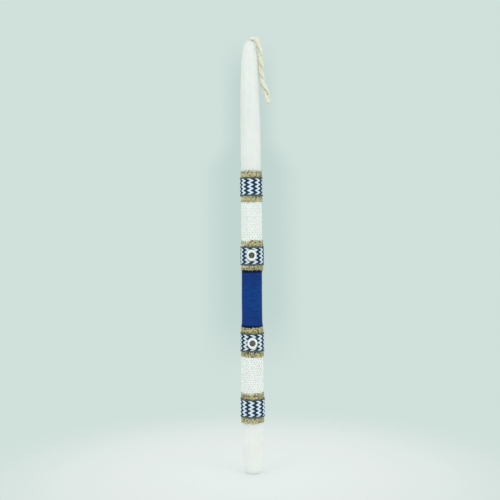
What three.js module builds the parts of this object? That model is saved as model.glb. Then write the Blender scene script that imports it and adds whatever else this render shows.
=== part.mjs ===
// An Easter candle: a white wax taper with a free wick tail, wrapped in jute,
// zigzag ribbon, lace and satin, with two oval eye charms on the front.
// Millimetres, +Z up along the candle, origin at the centre of the foot, -Y to the front.

import * as THREE from 'three';

// wax
const candleLength = 399; // foot to wax tip
const footRadius = 4.8; // flat that the candle stands on
const footHeight = 11; // rounded end above that flat
const lowerRadius = 9.35; // at the top of the rounded end
const upperRadius = 8.95; // where the nose begins
const noseLength = 115;
const tipRadius = 2.9; // small flat round the wick
const noseFullness = 4; // exponent along the nose
const noseRoundness = 3.4; // exponent across the nose
const waxSides = 48;

// wick
const coreRadius = 1.8; // both strands pressed together inside the wax
const boreClearance = 0.15;
const coreStop = 6; // solid wax left under the wick
const strandDiameter = 2;
const strandSpacing = 2.45; // between the two strands' centres
const crossings = [11.5, 26.6, 37.4, 46.6, 66]; // runs along the wick to where one strand hides the other
const eyeGapAt = 56.2; // where the strands spread near their ends
const eyeGapRun = 6;
const eyeGapWidth = 0.5;
const strandSides = 8;
const strandSteps = 36;

// The wick tail's middle line above the tip: how far right, how far forward, how far up.
const wickRoute = [
  [0, 0, 0.9],
  [0.8, 0, 1.8],
  [2.1, 0, 2.4],
  [3.7, 0, 2.3],
  [5.4, 0, 1],
  [6.9, 0, -1.4],
  [8.1, 0, -4.1],
  [9, 0.1, -7],
  [9.5, 0.1, -10],
  [9.75, 0.2, -13.5],
  [9.85, 0.3, -18],
  [10, 0.3, -22],
  [10.2, 0.3, -25.5],
  [10.35, 0.4, -29.5],
  [10.8, 0.4, -33.8],
  [11.75, 0.5, -38.6],
  [13.2, 0.6, -43],
  [14.7, 0.7, -46.8],
  [15.7, 0.8, -50.3],
  [16.35, 1, -54],
  [16.95, 1.1, -57.6],
];

// wraps
const layerGap = 0.1; // glue line between one layer and the next
const edgeGap = 0.3; // between wraps that meet edge to edge
const buttGap = 0.4; // between a wrap's two ends at the back
const tuck = 3; // how far a wrap's edge runs under the jute
const seamAngle = Math.PI / 2; // every seam is at the back
const juteWidth = 27.6;
const juteThickness = 0.4;
const zigzagWidth = 17.3;
const zigzagThickness = 0.6;
const zigzagOverlap = 5;
const satinThickness = 0.15;
const satinOverlap = 6;
const upperLaceThickness = 0.4;
const lowerLaceThickness = 0.55;
const tapeMargin = 2; // jute left uncovered at each edge of its tape
const thinTape = 0.2;
const wrapSides = 40;
const wrapStep = 40; // longest step along the candle

const bandHeights = { first: 265.1, second: 201.8, third: 122.4, fourth: 61.7 };

// eye charms
const eyeWidth = 8.9;
const eyeHeight = 10.4;
const eyeDepth = 1.9;
const eyeHole = 5.5;
const stoneClearance = 0.25;
const stoneRise = 0.25; // stone's table above the ring
const stoneSides = 8;
const padDepth = 0.5; // glue at the middle of the charm
const padShare = 0.68; // of the charm's outline
const eyeSides = 32;
const eyes = {
  upper: { band: 'second', above: 0.6, turn: -0.04 },
  lower: { band: 'third', above: -0.3, turn: 0.01 },
};

const waxFinish = { color: 0xf1efe4, roughness: 0.42, metalness: 0 };
const cottonFinish = { color: 0xe2dfc6, roughness: 0.95, metalness: 0 };
const juteFinish = { color: 0xbfb07a, roughness: 1, metalness: 0 };
const zigzagFinish = { color: 0x5c6f8e, roughness: 0.85, metalness: 0 };
const laceFinish = { color: 0xeeece4, roughness: 0.95, metalness: 0 };
const satinFinish = { color: 0x1f3f85, roughness: 0.35, metalness: 0 };
const tapeFinish = { color: 0xe9e6d6, roughness: 0.6, metalness: 0 };
const charmFinish = { color: 0xf0efe6, roughness: 0.25, metalness: 0 };
const stoneFinish = { color: 0x4c4d44, roughness: 0.12, metalness: 0 };
const glueFinish = { color: 0xe6e4da, roughness: 0.3, metalness: 0 };

const candle = new THREE.Group();

function add(name, geometry, finish, parent = candle) {
  const mesh = new THREE.Mesh(geometry, new THREE.MeshStandardMaterial(finish));
  mesh.name = name;
  parent.add(mesh);
  return mesh;
}

// Skins a row of cross-sections, each with the same even count of points, clockwise along the row.
// An open row gets a cap on its first and last section; a ring joins its last section to its first.
function loft(sections, ring = false) {
  const sides = sections[0].length;
  const count = sections.length;
  const faces = [];
  const quad = (a, b, c, d) => faces.push(a, b, c, a, c, d);
  for (let i = 0; i < (ring ? count : count - 1); i++) {
    const here = i * sides;
    const next = ((i + 1) % count) * sides;
    for (let k = 0; k < sides; k++) {
      const beside = (k + 1) % sides;
      quad(here + k, here + beside, next + beside, next + k);
    }
  }
  if (!ring) {
    const last = (count - 1) * sides;
    for (let k = 0; k < sides / 2 - 1; k++) {
      const far = sides - 1 - k;
      quad(k, far, far - 1, k + 1);
      quad(last + k, last + k + 1, last + far - 1, last + far);
    }
  }
  const geometry = new THREE.BufferGeometry();
  geometry.setAttribute('position', new THREE.Float32BufferAttribute(sections.flat(2), 3));
  geometry.setIndex(faces);
  return geometry;
}

// Wax

function waxRadius(z) {
  const noseStart = candleLength - noseLength;
  if (z < footHeight) {
    const up = (footHeight - z) / footHeight;
    return footRadius + (lowerRadius - footRadius) * Math.sqrt(1 - up * up);
  }
  if (z <= noseStart) {
    return THREE.MathUtils.mapLinear(z, footHeight, noseStart, lowerRadius, upperRadius);
  }
  const along = (z - noseStart) / noseLength;
  const full = Math.max(0, 1 - along ** noseFullness) ** (1 / noseRoundness);
  return Math.max(tipRadius, upperRadius * full);
}

function candleBody() {
  const boreRadius = coreRadius + boreClearance;
  const noseStart = candleLength - noseLength;
  const heights = [];
  const footSteps = 7;
  for (let i = 0; i <= footSteps; i++) {
    heights.push(footHeight * (1 - Math.cos((Math.PI / 2) * (i / footSteps))));
  }
  heights.push(noseStart);
  const noseSteps = 16;
  for (let i = 1; i < noseSteps; i++) {
    heights.push(noseStart + noseLength * Math.sin((Math.PI / 2) * (i / noseSteps)));
  }
  const profile = [new THREE.Vector2(0, 0)];
  for (const z of heights) {
    profile.push(new THREE.Vector2(waxRadius(z), z));
  }
  profile.push(new THREE.Vector2(tipRadius, candleLength));
  profile.push(new THREE.Vector2(boreRadius, candleLength));
  profile.push(new THREE.Vector2(boreRadius, coreStop));
  profile.push(new THREE.Vector2(0, coreStop));
  add('candle_body', new THREE.LatheGeometry(profile, waxSides), waxFinish).rotation.x = Math.PI / 2;
}

// Wick

function wickCore() {
  const floorGap = boreClearance;
  const length = candleLength - coreStop - floorGap;
  const core = add('wick_core', new THREE.CylinderGeometry(coreRadius, coreRadius, length, 16), cottonFinish);
  core.rotation.x = Math.PI / 2;
  core.position.z = coreStop + floorGap + length / 2;
}

const wickLine = new THREE.CatmullRomCurve3(
  wickRoute.map(([right, forward, up]) => new THREE.Vector3(right, -forward, candleLength + up)),
);
const wickLength = wickLine.getLength();

// Half turns that the strands have made about each other, a whole number at each crossing.
function halfTurns(along) {
  if (along <= crossings[0]) {
    return 0;
  }
  let i = 0;
  while (i < crossings.length - 2 && along > crossings[i + 1]) {
    i++;
  }
  return i + (along - crossings[i]) / (crossings[i + 1] - crossings[i]);
}

// Point of one strand's middle line, a distance along the wick; side is 1 or -1.
function strandPoint(along, side) {
  const share = Math.min(1, along / wickLength);
  const middle = wickLine.getPointAt(share);
  const forward = wickLine.getTangentAt(share);
  const across = new THREE.Vector3(0, 1, 0).addScaledVector(forward, -forward.y).normalize();
  const inward = new THREE.Vector3().crossVectors(forward, across);
  const turned = -Math.PI * halfTurns(along);
  const spread = eyeGapWidth * Math.exp(-(((along - eyeGapAt) / eyeGapRun) ** 2));
  const away = side * (strandSpacing + spread) / 2;
  return middle.addScaledVector(across, away * Math.cos(turned)).addScaledVector(inward, away * Math.sin(turned));
}

function strandLine(side) {
  const points = [];
  for (let i = 0; i <= strandSteps; i++) {
    points.push(strandPoint((wickLength * i) / strandSteps, side));
  }
  return new THREE.CatmullRomCurve3(points);
}

function wickStrands() {
  const section = new THREE.Shape();
  section.absarc(0, 0, strandDiameter / 2, 0, Math.PI * 2);
  for (const [name, side] of [['wick_strand_front', -1], ['wick_strand_back', 1]]) {
    const tube = new THREE.ExtrudeGeometry(section, {
      steps: strandSteps,
      curveSegments: strandSides,
      extrudePath: strandLine(side),
    });
    add(name, tube, cottonFinish);
  }
}

// The least distance between the two strands' surfaces, on points along them.
function leastStrandGap() {
  const stops = 300;
  const front = [];
  const back = [];
  for (let i = 0; i <= stops; i++) {
    front.push(strandPoint((wickLength * i) / stops, -1));
    back.push(strandPoint((wickLength * i) / stops, 1));
  }
  let least = Infinity;
  for (const a of front) {
    for (const b of back) {
      least = Math.min(least, a.distanceTo(b));
    }
  }
  return least - strandDiameter;
}

// Wraps

// A strip wound once round the candle. inner(z) is its inside radius there. Its ends butt at the back,
// or with an overlap the last stretch climbs over the first.
function wrap(name, { bottom, top, inner, thickness, overlap = 0 }, finish) {
  const middleRadius = inner((bottom + top) / 2);
  const past = overlap > 0 ? overlap / middleRadius : -buttGap / middleRadius;
  const start = seamAngle - past / 2;
  const end = start + Math.PI * 2 + past;
  const climb = overlap > 0 ? thickness + layerGap : 0;
  const climbRun = 0.3; // radians
  const steps = Math.ceil((wrapSides * (end - start)) / (Math.PI * 2));
  const levels = Math.max(1, Math.ceil((top - bottom) / wrapStep));
  const heights = Array.from({ length: levels + 1 }, (_, j) => bottom + ((top - bottom) * j) / levels);
  const sections = [];
  for (let i = 0; i <= steps; i++) {
    const angle = start + ((end - start) * i) / steps;
    const lifted = climb * THREE.MathUtils.smoothstep(angle, start + Math.PI * 2 - climbRun, start + Math.PI * 2);
    const place = (radius, z) => [radius * Math.cos(angle), radius * Math.sin(angle), z];
    const outside = heights.map((z) => place(inner(z) + lifted + thickness, z)).reverse();
    const inside = heights.map((z) => place(inner(z) + lifted, z));
    sections.push([...inside, ...outside]);
  }
  add(name, loft(sections), finish);
}

const upperLaceOuter = layerGap + upperLaceThickness;
const lowerLaceOuter = 2 * layerGap + lowerLaceThickness;
const satinOuter = 2 * (layerGap + satinThickness);
const tapeOuter = layerGap + thinTape;

// What lies under each jute ribbon at its lower and upper edge, as a height over the wax.
const bands = {
  first: { node: 1, under: [tapeOuter, tapeOuter] },
  second: { node: 2, under: [Math.max(upperLaceOuter, satinOuter), Math.max(upperLaceOuter, satinOuter)] },
  third: { node: 3, under: [lowerLaceOuter, Math.max(upperLaceOuter, satinOuter)] },
  fourth: { node: 4, under: [lowerLaceOuter, lowerLaceOuter] },
};

for (const [key, band] of Object.entries(bands)) {
  band.middle = bandHeights[key];
  band.bottom = band.middle - juteWidth / 2;
  band.top = band.middle + juteWidth / 2;
  band.lift = (z) => THREE.MathUtils.mapLinear(z, band.bottom, band.top, ...band.under);
  band.juteInner = (z) => waxRadius(z) + band.lift(z) + layerGap;
  band.zigzagInner = (z) => band.juteInner(z) + juteThickness + layerGap;
}

const wraps = {
  upperLace: { bottom: bands.second.top - tuck, top: bands.first.bottom - edgeGap },
  satin: { bottom: bands.third.top - tuck, top: bands.second.bottom + tuck },
  lowerLace: { bottom: bands.fourth.top - tuck, top: bands.third.bottom + tuck },
};

function juteRibbons() {
  for (const band of Object.values(bands)) {
    const strip = { bottom: band.bottom, top: band.top, inner: band.juteInner, thickness: juteThickness };
    wrap(`jute_ribbon_${band.node}`, strip, juteFinish);
  }
}

function zigzagRibbons() {
  for (const band of Object.values(bands)) {
    const strip = {
      bottom: band.middle - zigzagWidth / 2,
      top: band.middle + zigzagWidth / 2,
      inner: band.zigzagInner,
      thickness: zigzagThickness,
      overlap: zigzagOverlap,
    };
    wrap(`zigzag_ribbon_${band.node}`, strip, zigzagFinish);
  }
}

function clothWraps() {
  const onWax = (z) => waxRadius(z) + layerGap;
  wrap('lace_wrap_upper', { ...wraps.upperLace, inner: onWax, thickness: upperLaceThickness }, laceFinish);
  const satin = { ...wraps.satin, inner: onWax, thickness: satinThickness, overlap: satinOverlap };
  wrap('satin_wrap', satin, satinFinish);
  const lowerLace = { ...wraps.lowerLace, inner: (z) => onWax(z) + layerGap, thickness: lowerLaceThickness };
  wrap('lace_wrap_lower', lowerLace, laceFinish);
}

// Double-sided tape fills the ring between the wax and each jute ribbon, clear of what is tucked under it.
function ribbonTapes() {
  const clear = tuck + edgeGap;
  const margins = {
    first: [tapeMargin, tapeMargin],
    second: [clear, clear],
    third: [clear, clear],
    fourth: [tapeMargin, clear],
  };
  for (const [key, band] of Object.entries(bands)) {
    const [below, above] = margins[key];
    const strip = {
      bottom: band.bottom + below,
      top: band.top - above,
      inner: (z) => waxRadius(z) + layerGap,
      thickness: Math.min(...band.under) - layerGap,
    };
    wrap(`ribbon_tape_${band.node}`, strip, tapeFinish);
  }
}

// Eye charms: local x across, local y up, local z out of the candle

function ovalPoint(width, height, angle, depth) {
  return [(width / 2) * Math.cos(angle), (height / 2) * Math.sin(angle), depth];
}

function eyeRing() {
  const profile = [ // share of the way from the hole's edge to the rim, and share of the depth
    [0, 0],
    [0, 0.62],
    [0.12, 0.84],
    [0.34, 1],
    [0.66, 0.98],
    [0.88, 0.78],
    [1, 0.42],
    [0.97, 0],
  ];
  const sections = [];
  for (let i = 0; i < eyeSides; i++) {
    const angle = (Math.PI * 2 * i) / eyeSides;
    sections.push(profile.map(([share, depth]) => {
      const width = THREE.MathUtils.lerp(eyeHole, eyeWidth, share);
      const height = THREE.MathUtils.lerp(eyeHole, eyeHeight, share);
      return ovalPoint(width, height, angle, depth * eyeDepth);
    }));
  }
  return loft(sections, true);
}

function eyeStone() {
  const girdle = eyeHole / 2 - stoneClearance;
  const rise = eyeDepth + stoneRise;
  const profile = [
    new THREE.Vector2(0, 0),
    new THREE.Vector2(girdle * 0.7, 0),
    new THREE.Vector2(girdle, rise * 0.45),
    new THREE.Vector2(girdle, rise * 0.55),
    new THREE.Vector2(girdle * 0.62, rise),
    new THREE.Vector2(0, rise),
  ];
  return new THREE.LatheGeometry(profile, stoneSides);
}

// Flat in front, and hollowed behind to the ribbon's round.
function gluePad(ribbonRadius) {
  const front = ribbonRadius + padDepth;
  const seat = ribbonRadius + layerGap;
  const width = eyeWidth * padShare;
  const height = eyeHeight * padShare;
  const back = [0.1, 0.5, 1].map((share) => Array.from({ length: eyeSides }, (_, i) => {
    const [x, y] = ovalPoint(width * share, height * share, (Math.PI * 2 * i) / eyeSides, 0);
    return [x, y, Math.sqrt(seat * seat - x * x) - front];
  }));
  const face = back[back.length - 1].map(([x, y]) => [x, y, -layerGap]);
  return loft([...back, face]);
}

function eyeCharms() {
  for (const [side, eye] of Object.entries(eyes)) {
    const band = bands[eye.band];
    const height = band.middle + eye.above;
    const ribbonRadius = band.zigzagInner(band.middle - zigzagWidth / 2) + zigzagThickness;
    const turned = new THREE.Group();
    turned.rotation.z = eye.turn;
    const charm = new THREE.Group();
    charm.rotation.x = Math.PI / 2;
    charm.position.set(0, -(ribbonRadius + padDepth), height);
    turned.add(charm);
    candle.add(turned);
    add(`eye_glue_${side}`, gluePad(ribbonRadius), glueFinish, charm);
    add(`eye_ring_${side}`, eyeRing(), charmFinish, charm);
    add(`eye_stone_${side}`, eyeStone(), stoneFinish, charm).rotation.x = Math.PI / 2;
  }
}

candleBody();
wickCore();
wickStrands();
ribbonTapes();
juteRibbons();
zigzagRibbons();
clothWraps();
eyeCharms();

console.log(`wick tail ${wickLength.toFixed(1)} mm, least gap between its strands ${leastStrandGap().toFixed(2)} mm`);

export default candle;
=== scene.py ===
# An Easter candle: a white wax taper with a loose wick tail, dressed with jute, zigzag ribbon,
# lace and satin, with two oval eye charms on the front. Sizes below are in millimetres.

import random
from math import atan2, cos, exp, floor, hypot, pi, radians, sin, sqrt
from random import uniform

import bpy
from mathutils import Matrix, Vector, noise


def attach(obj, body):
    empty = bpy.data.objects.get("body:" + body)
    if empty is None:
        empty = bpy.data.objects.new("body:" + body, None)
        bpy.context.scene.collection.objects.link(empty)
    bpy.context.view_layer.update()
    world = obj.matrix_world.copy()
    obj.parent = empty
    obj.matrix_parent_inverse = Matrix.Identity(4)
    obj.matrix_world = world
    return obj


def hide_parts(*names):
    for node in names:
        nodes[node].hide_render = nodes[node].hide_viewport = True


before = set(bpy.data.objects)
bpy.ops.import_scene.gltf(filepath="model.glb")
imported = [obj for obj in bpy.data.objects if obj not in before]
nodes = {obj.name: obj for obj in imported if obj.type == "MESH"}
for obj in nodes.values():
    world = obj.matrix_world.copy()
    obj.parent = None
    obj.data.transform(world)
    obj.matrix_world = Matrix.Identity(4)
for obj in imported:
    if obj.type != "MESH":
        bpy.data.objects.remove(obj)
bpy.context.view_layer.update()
mm = 0.001
print("frame loaded")


def colour(red, green, blue):
    def linear(value):
        value /= 255
        return value / 12.92 if value <= 0.04045 else ((value + 0.055) / 1.055) ** 2.4

    return (linear(red), linear(green), linear(blue), 1)


def pick(*pieces):
    if bpy.context.mode != "OBJECT":
        bpy.ops.object.mode_set(mode="OBJECT")
    bpy.ops.object.select_all(action="DESELECT")
    for piece in pieces:
        piece.select_set(True)
    if pieces:
        bpy.context.view_layer.objects.active = pieces[0]


def named(name):
    piece = bpy.context.object
    piece.name = name
    piece.data.name = name
    return piece


def added(operator, name, **values):  # the object that an operator adds
    pick()
    operator(**values)
    return named(name)


def joined(name, pieces):
    pick(*pieces)
    bpy.ops.object.join()
    return named(name)


def reshape(piece, place):
    for vertex in piece.data.vertices:
        vertex.co = place(*vertex.co)
    piece.data.update()


def scaleUv(piece, across, up):
    for corner in piece.data.uv_layers.active.data:
        corner.uv = (corner.uv[0] * across, corner.uv[1] * up)


def setTone(piece, toneAt):  # a number for each point, read by the material
    layer = piece.data.attributes.new("tone", "FLOAT", "POINT")
    layer.data.foreach_set("value", [toneAt(vertex.co) for vertex in piece.data.vertices])


def modify(piece, kind, **values):
    pick(piece)
    bpy.ops.object.modifier_add(type=kind)
    modifier = piece.modifiers[-1]
    for key, value in values.items():
        setattr(modifier, key, value)
    bpy.ops.object.modifier_apply(modifier=modifier.name)


def edit(piece, kind=None, action="SELECT"):  # edit mode with all or none of the piece selected
    pick(piece)
    bpy.ops.object.mode_set(mode="EDIT")
    if kind:
        bpy.ops.mesh.select_mode(type=kind)
    bpy.ops.mesh.select_all(action=action)


def editOnly(piece, kind, parts, wanted):  # edit mode with only the wanted edges or faces selected
    edit(piece, kind, "DESELECT")
    bpy.ops.object.mode_set(mode="OBJECT")
    for part in getattr(piece.data, parts):
        part.select = wanted(part)
    bpy.ops.object.mode_set(mode="EDIT")


def mend(piece, within=0.0001):  # closes seams and points faces outwards
    edit(piece)
    bpy.ops.mesh.remove_doubles(threshold=within * mm)
    bpy.ops.mesh.normals_make_consistent(inside=False)
    pick(piece)


def smooth(piece, degrees=40):
    pick(piece)
    bpy.ops.object.shade_smooth_by_angle(angle=radians(degrees))


def smoothStep(value, low, high):
    share = min(1, max(0, (value - low) / (high - low)))
    return share * share * (3 - 2 * share)


def rounded(along, reach, endRun):  # how full a yarn is, near its two ends
    return sqrt(max(0, min(1, min(along, 1 - along) * reach / endRun)))


def hump(value, middle, reach):  # 1 at the middle, fading to 0 on both sides
    return exp(-(((value - middle) / reach) ** 2))


def wander(seed, *place):  # smooth noise, about -1 to 1; the seed counts where two places are given
    return noise.noise(Vector((*place, seed * 7.31)[:3])) * 1.6


# Materials. A value is a number, a colour or the output of a shader node.

def connect(value, socket):
    if isinstance(value, bpy.types.NodeSocket):
        socket.id_data.links.new(value, socket)
    else:
        socket.default_value = value


def nodeOf(kind, inputs, **settings):
    # Makes a node in the tree that its inputs come from, and gives its outputs.
    tree = next(value.id_data for value in inputs.values() if isinstance(value, bpy.types.NodeSocket))
    made = tree.nodes.new(f"ShaderNode{kind}")
    for key, value in settings.items():
        setattr(made, key, value)
    for key, value in inputs.items():
        connect(value, made.inputs[key])
    return made.outputs


def sums(operation, *values):
    return nodeOf("Math", dict(enumerate(values)), operation=operation)[0]


def chained(operation):
    def make(first, *others):
        for value in others:
            first = sums(operation, first, value)
        return first

    return make


plus, minus, times, highest = (chained(operation) for operation in ("ADD", "SUBTRACT", "MULTIPLY", "MAXIMUM"))


def spaced(values):  # spaces in a socket's name are written as _
    return {key.replace("_", " "): value for key, value in values.items()}


def texture(kind, vector, output, **values):
    return nodeOf(kind, {"Vector": vector, **spaced(values)})[output]


def noiseOn(vector, scale, detail):
    return texture("TexNoise", vector, "Fac", Scale=scale, Detail=detail)


def stretched(vector, scale, location=(0, 0, 0)):
    return texture("Mapping", vector, 0, Scale=scale, Location=location)


def axesOf(vector):  # its x, y and z
    return nodeOf("SeparateXYZ", {0: vector})


def blendOf(share, *tints):
    first, second = (colour(*tint) if isinstance(tint, tuple) else tint for tint in tints)
    return nodeOf("Mix", {0: share, 6: first, 7: second}, data_type="RGBA", clamp_factor=True)[2]


def ramp(value, low, high, start=0.0, end=1.0):
    inputs = {"Value": value, "From Min": low, "From Max": high, "To Min": start, "To Max": end}
    return nodeOf("MapRange", inputs, interpolation_type="SMOOTHSTEP")[0]


def bump(height, depth, strength, under=None):
    inputs = {"Height": height, "Distance": depth * mm, "Strength": strength}
    if under is not None:
        inputs["Normal"] = under
    return nodeOf("Bump", inputs)[0]


def dress(shader, **looks):
    for key, value in spaced(looks).items():
        connect(value, shader.inputs[key])


def newMaterial(name, **looks):
    material = bpy.data.materials.new(name)
    material.use_nodes = True
    shader = material.node_tree.nodes["Principled BSDF"]
    dress(shader, **looks)
    space = material.node_tree.nodes.new("ShaderNodeTexCoord").outputs
    return material, shader, space["Object"], space["UV"]


def toneOf(shader):
    made = shader.id_data.nodes.new("ShaderNodeAttribute")
    made.attribute_name = "tone"
    return made.outputs["Fac"]


def wear(piece, material):
    piece.data.materials.clear()
    piece.data.materials.append(material)


def finish(piece, material):
    wear(piece, material)
    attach(piece, "root")


# Camera

camera = {
    "lens": 62.28, "sensor": 36, "back": 798.4, "height": 224.6, "left": 1.4,
    "down": 1.26, "roll": -0.51,  # degrees
}

place = (-camera["left"] * mm, -camera["back"] * mm, camera["height"] * mm)
photoCamera = added(bpy.ops.object.camera_add, "photo_camera", location=place)
photoCamera.data.lens = camera["lens"]
photoCamera.data.sensor_width = camera["sensor"]
tilt = Matrix.Rotation(radians(90 - camera["down"]), 3, "X")
roll = Matrix.Rotation(radians(camera["roll"]), 3, "Z")
photoCamera.rotation_euler = (tilt @ roll).to_euler()
bpy.context.scene.camera = photoCamera

# Wick tail: two loosely twisted cotton strands with bare, frayed ends

wick = {
    "route": [  # right, forward and up from the tip of the wax
        (0, 0, 0.9), (0.8, 0, 1.8), (2.1, 0, 2.4), (3.7, 0, 2.3), (5.4, 0, 1), (6.9, 0, -1.4),
        (8.1, 0, -4.1), (9, 0.1, -7), (9.5, 0.1, -10), (9.75, 0.2, -13.5), (9.85, 0.3, -18), (10, 0.3, -22),
        (10.2, 0.3, -25.5), (10.35, 0.4, -29.5), (10.8, 0.4, -33.8), (11.75, 0.5, -38.6), (13.2, 0.6, -43),
        (14.7, 0.7, -46.8), (15.7, 0.8, -50.3), (16.35, 1, -54), (16.95, 1.1, -57.6),
    ],
    "tipHeight": 399, "diameter": 2, "spacing": 2.45,
    "crossings": (11.5, 26.6, 37.4, 46.6, 66),  # runs along the wick to where one strand hides the other
    "gapAt": 56.2, "gapRun": 6, "gapWidth": 0.5,
    "strandLength": 0.0692,  # in metres
    "stops": 240, "plies": 3,
    "plyTurn": 5.2, "plyDepth": 0.11,  # length of one turn of a strand's plies, and their relief
    "thick": 1.22,  # half of a strand's thickness, towards the other strand
    # By run along the wick: half of a strand's width, and how far it leans towards the wax
    "wide": (
        (0, 1.3), (3, 1.4), (5, 1.75), (7, 2.2), (12, 2.2), (16, 2), (46, 1.95), (50, 2.1), (60, 2),
        (64, 1.8), (70, 1.5),
    ),
    "lean": (
        (0, 0), (1, 0.2), (2.5, 0.6), (4.5, 0.45), (6, -0.1), (8.5, -0.72), (10, -0.55), (12, -0.2),
        (14, 0.05), (17, 0.34), (24, 0.1), (30, -0.05), (36, 0.1), (43, 0), (48, 0.2), (54, -0.1),
        (60, 0.1), (70, 0),
    ),
    "sides": 22, "fibreRadius": 0.05,
    "fray": {"fibres": 14, "run": 5.5, "past": (0.3, 1.8), "seat": 0.6, "curl": 0.07, "thickness": 2.6},
    "lint": {"fibres": 110, "length": (0.5, 1.3), "seat": 1.15, "curl": 0.5, "thickness": 0.8},
}


def smoothLine(points, steps):
    # Centripetal Catmull-Rom through the points, then evenly spaced stops along it.
    points = [Vector(point) for point in points]
    ends = [points[0] * 2 - points[1], *points, points[-1] * 2 - points[-2]]
    fine = []
    for before, start, end, after in zip(ends, ends[1:], ends[2:], ends[3:]):
        pairs = ((before, start), (start, end), (end, after))
        near, mid, far = ((b - a).length ** 0.5 for a, b in pairs)
        leave = ((start - before) / near - (end - before) / (near + mid) + (end - start) / mid) * mid
        arrive = ((end - start) / mid - (after - start) / (mid + far) + (after - end) / far) * mid
        for i in range(24):
            t = i / 24
            fine.append(
                start * (2 * t**3 - 3 * t**2 + 1) + leave * (t**3 - 2 * t**2 + t)
                + end * (-2 * t**3 + 3 * t**2) + arrive * (t**3 - t**2)
            )
    fine.append(points[-1])
    runs = [0]
    for a, b in zip(fine, fine[1:]):
        runs.append(runs[-1] + (b - a).length)
    stops = []
    place = 0
    for i in range(steps + 1):
        wanted = runs[-1] * i / steps
        while place < len(runs) - 2 and runs[place + 1] < wanted:
            place += 1
        share = (wanted - runs[place]) / (runs[place + 1] - runs[place])
        stops.append(fine[place].lerp(fine[place + 1], share))
    return stops, runs[-1]


tailRoute = [(right, -forward, wick["tipHeight"] + up) for right, forward, up in wick["route"]]
tailLine, tailLength = smoothLine(tailRoute, wick["stops"])


def halfTurns(along):
    # Half turns that the strands have made about each other, a whole number at each crossing.
    crossings = wick["crossings"]
    if along <= crossings[0]:
        return 0
    i = 0
    while i < len(crossings) - 2 and along > crossings[i + 1]:
        i += 1
    return i + (along - crossings[i]) / (crossings[i + 1] - crossings[i])


def strandLine(side):
    # The strand's middle line, and the way away from the other strand at each of its stops.
    line, outward = [], []
    for i, middle in enumerate(tailLine):
        along = tailLength * i / wick["stops"]
        forward = (tailLine[min(i + 1, wick["stops"])] - tailLine[max(i - 1, 0)]).normalized()
        across = (Vector((0, 1, 0)) - forward * forward.y).normalized()
        inward = forward.cross(across)
        turned = -pi * halfTurns(along)
        spread = wick["gapWidth"] * hump(along, wick["gapAt"], wick["gapRun"])
        away = side * (wick["spacing"] + spread) / 2
        apart = across * cos(turned) + inward * sin(turned)
        line.append(middle + apart * away)
        outward.append(apart * side)
    return line, outward


def curvePiece(name, lines, closed=False):
    # One curve object. Each line has its points, and its radius at each of them.
    curve = bpy.data.curves.new(name, "CURVE")
    curve.dimensions = "3D"
    for points, radii in lines:
        spline = curve.splines.new("POLY")
        spline.use_cyclic_u = closed
        spline.points.add(len(points) - 1)
        for stop, point, radius in zip(spline.points, points, radii):
            stop.co = (*(point * mm), 1)
            stop.radius = radius
    piece = bpy.data.objects.new(name, curve)
    bpy.context.scene.collection.objects.link(piece)
    return piece


def rolled(name, steps, sides, place):
    # A grid rolled into a closed tube; place(along, angle) gives a point in millimetres.
    piece = added(bpy.ops.mesh.primitive_grid_add, name, x_subdivisions=steps, y_subdivisions=sides, size=1)
    reshape(piece, lambda x, y, z: Vector(place(x + 0.5, 2 * pi * (y + 0.5))) * mm)
    return piece


def atRun(table, run):
    for (start, first), (end, second) in zip(table, table[1:]):
        if run <= end:
            return first + (second - first) * smoothStep(run, start, end)
    return table[-1][1]


def woundStrand(label, side):
    line, outward = strandLine(side)
    last = wick["stops"]

    def place(along, angle):
        at = round(along * last)
        run = along * tailLength
        forward = (line[min(at + 1, last)] - line[max(at - 1, 0)]).normalized()
        sideways = forward.cross(outward[at]).normalized()
        wide = atRun(wick["wide"], run)
        size = 1 / hypot(cos(angle) / wick["thick"], sin(angle) / wide)
        lobe = abs(cos(wick["plies"] * (angle / 2 - pi * run / wick["plyTurn"])))
        size *= 1 + wick["plyDepth"] * (2 * lobe**1.5 - 1)
        lumps = 0.05 * wander(0, cos(angle) * 1.2, sin(angle) * 1.2, run * 0.9)
        size *= 1 + 0.07 * wander(side, run * 0.5, 3) + lumps
        size *= sqrt(max(0, min(1, run / 0.7, (tailLength - run) / 0.5)))
        inner = Vector((forward.z, 0, -forward.x)) * atRun(wick["lean"], run)
        return line[at] + inner + outward[at] * size * cos(angle) + sideways * size * sin(angle)

    return rolled(f"wick_yarn_{label}", last, wick["sides"], place), line


random.seed(11)
turns = [i * pi / 2 for i in range(4)]
corners = [Vector((cos(turn), sin(turn), 0)) * wick["fibreRadius"] for turn in turns]
fibreSection = curvePiece("fibre_section", [(corners, [1] * 4)], closed=True)
strands = {label: woundStrand(label, side) for label, side in (("front", -1), ("back", 1))}


def anyWay():
    return Vector([uniform(-1, 1) for _ in range(3)])


def fibre(start, heading, length, curl, thickness, steps=6):
    # The points of a loose fibre that gets thinner towards its free end, and its radius at each.
    points = [start]
    heading = heading.normalized()
    for _ in range(steps):
        heading = (heading + Vector([uniform(-curl, curl) for _ in range(3)])).normalized()
        points.append(points[-1] + heading * length / steps)
    return points, [thickness * (1 - 0.6 * i / steps) for i in range(steps + 1)]


def tuft(name, fibres):
    piece = curvePiece(name, fibres)
    piece.data.bevel_mode = "OBJECT"
    piece.data.bevel_object = fibreSection
    piece.data.use_fill_caps = True
    pick(piece)
    bpy.ops.object.convert(target="MESH")
    return named(name)


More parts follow.
